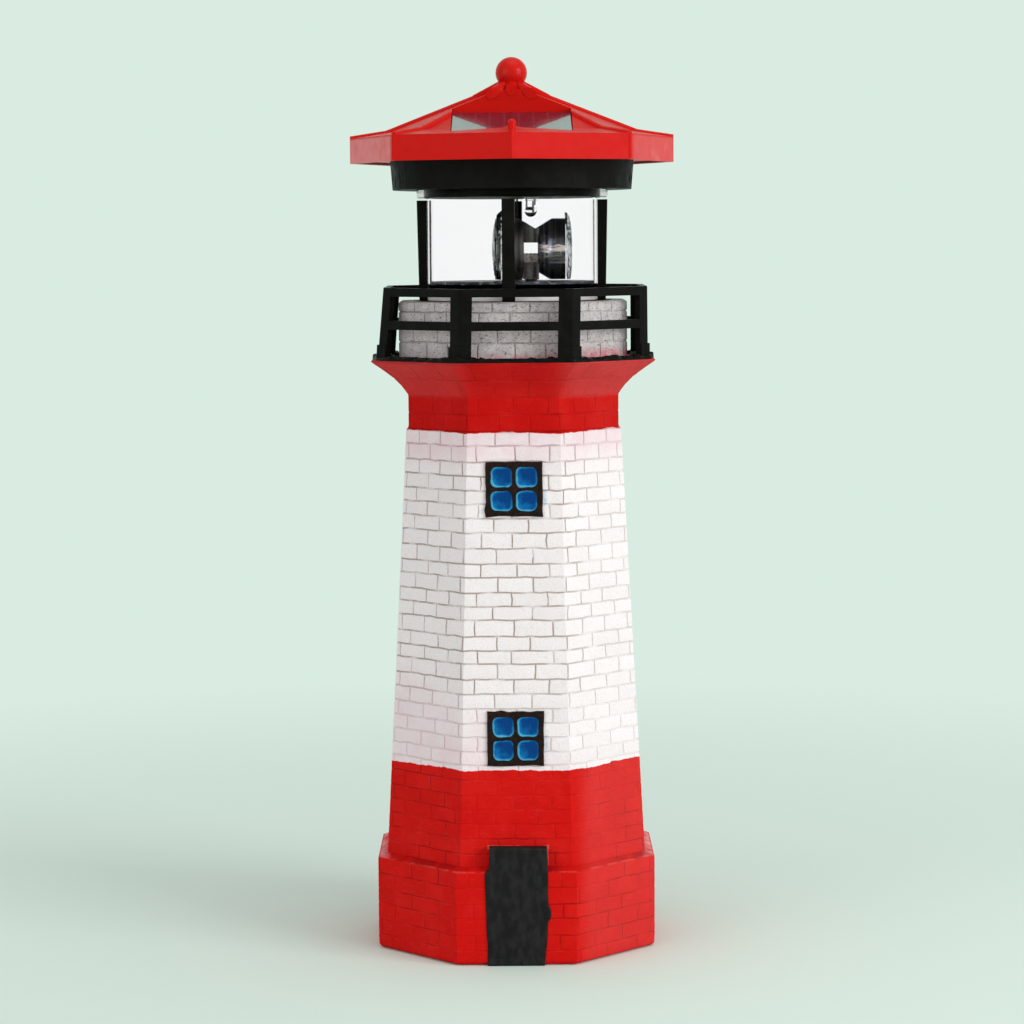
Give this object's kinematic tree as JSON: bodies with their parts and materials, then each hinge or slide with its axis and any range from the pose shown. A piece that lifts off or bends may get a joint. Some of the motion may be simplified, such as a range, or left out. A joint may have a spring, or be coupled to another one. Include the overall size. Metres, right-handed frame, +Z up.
{
  "type": "garden lighthouse ornament",
  "caption": "Solar garden light shaped as a brick lighthouse: hollow cast tower with gallery, and a lift-off lantern with a motor-driven turning lens under an eight-sided roof.",
  "frame": {"origin": "middle of the tower's underside, on the ground", "axes": "+Z up, -Y towards the door and windows, +X to the right seen from the front"},
  "size_m": [0.1274, 0.1274, 0.3498],
  "materials": {
    "tower_resin": "cast resin, hand painted in red and white bands, satin",
    "door_paint": "hand-painted black, satin",
    "window_bar_paint": "hand-painted dark brown, satin",
    "window_pane_paint": "glossy blue paint, lighter at the rims",
    "railing_plastic": "moulded black, satin",
    "seal_rubber": "matt black rubber",
    "lantern_plastic": "moulded black, fine satin",
    "screw_steel": "zinc plated",
    "gear_plastic": "natural white, smooth",
    "motor_steel": "drawn steel can",
    "battery_jacket": "printed green sleeve without lettering",
    "contact_steel": "nickel plated",
    "switch_plastic": "moulded white",
    "lead_red": "red wire sleeve",
    "lead_black": "black wire sleeve",
    "clear_plastic": "clear acrylic, polished",
    "mirror_plating": "vacuum-plated mirror finish",
    "lens_plastic": "clear acrylic lens, polished",
    "lamp_epoxy": "water-clear epoxy",
    "board_laminate": "green lacquered laminate",
    "roof_plastic": "moulded red, glossy",
    "solar_cell": "dark cells under clear resin, glossy"
  },
  "bodies": {
    "tower": {"tower_body": "tower_resin", "door": "door_paint", "window_bars_low": "window_bar_paint", "window_bars_high": "window_bar_paint", "window_panes_low": "window_pane_paint", "window_panes_high": "window_pane_paint", "gallery_railing": "railing_plastic"},
    "seal": {"seal_ring": "seal_rubber"},
    "lantern": {"lantern_frame": "lantern_plastic", "spigot_cup": "lantern_plastic", "spigot_lid": "lantern_plastic", "lid_screw_1": "screw_steel", "lid_screw_2": "screw_steel", "lid_screw_3": "screw_steel", "gear_plate": "gear_plastic", "motor": "motor_steel", "idler_pin": "motor_steel", "battery": "battery_jacket", "battery_contact_plus": "contact_steel", "battery_contact_minus": "contact_steel", "switch_body": "lantern_plastic", "lead_board_switch": "lead_red", "lead_board_motor": "lead_black", "lead_switch_battery": "lead_red", "lead_battery_motor": "lead_black", "clear_tube": "clear_plastic", "clear_floor": "clear_plastic", "led": "lamp_epoxy", "glass_cap": "lantern_plastic", "ring_housing": "lantern_plastic", "housing_screw_1": "screw_steel", "housing_screw_2": "screw_steel", "housing_screw_3": "screw_steel", "housing_screw_4": "screw_steel", "circuit_board": "board_laminate", "soffit_plate": "roof_plastic", "roof": "roof_plastic", "finial": "roof_plastic", "solar_panel_front": "solar_cell", "solar_panel_rear": "solar_cell", "panel_lead_front": "lead_red", "panel_lead_rear": "lead_red"},
    "rotor": {"rotor_shaft": "lantern_plastic", "rotor_gear": "gear_plastic", "reflector": "mirror_plating", "lens_left": "lens_plastic", "lens_right": "lens_plastic"},
    "idler": {"idler_gear": "gear_plastic"},
    "motor_rotor": {"motor_shaft": "motor_steel", "motor_pinion": "gear_plastic"},
    "switch": {"switch_slider": "switch_plastic"}
  },
  "joints": [
    {"name": "lantern_lift", "type": "slide", "parent": "tower", "child": "seal", "axis": [0, 0, 1], "range_m": [0, 0.06]},
    {"name": "lantern_turn", "type": "hinge", "parent": "seal", "child": "lantern", "pos_m": [0, 0, 0.245], "axis": [0, 0, 1], "continuous": true},
    {"name": "rotor_spin", "type": "hinge", "parent": "lantern", "child": "rotor", "pos_m": [0.0073, 0, 0.25], "axis": [0, 0, 1], "continuous": true},
    {"name": "idler_spin", "type": "hinge", "parent": "lantern", "child": "idler", "pos_m": [-0.00488, 0.00791, 0.25], "axis": [0, 0, 1], "continuous": true},
    {"name": "motor_spin", "type": "hinge", "parent": "lantern", "child": "motor_rotor", "pos_m": [-0.01852, 0.00294, 0.247], "axis": [0, 0, 1], "continuous": true},
    {"name": "switch_slide", "type": "slide", "parent": "lantern", "child": "switch", "axis": [1, 0, 0], "range_m": [0, 0.003]}
  ],
  "couplings": [
    {"joint": "idler_spin", "follows": "rotor_spin", "ratio": -3},
    {"joint": "motor_spin", "follows": "rotor_spin", "ratio": 9}
  ]
}
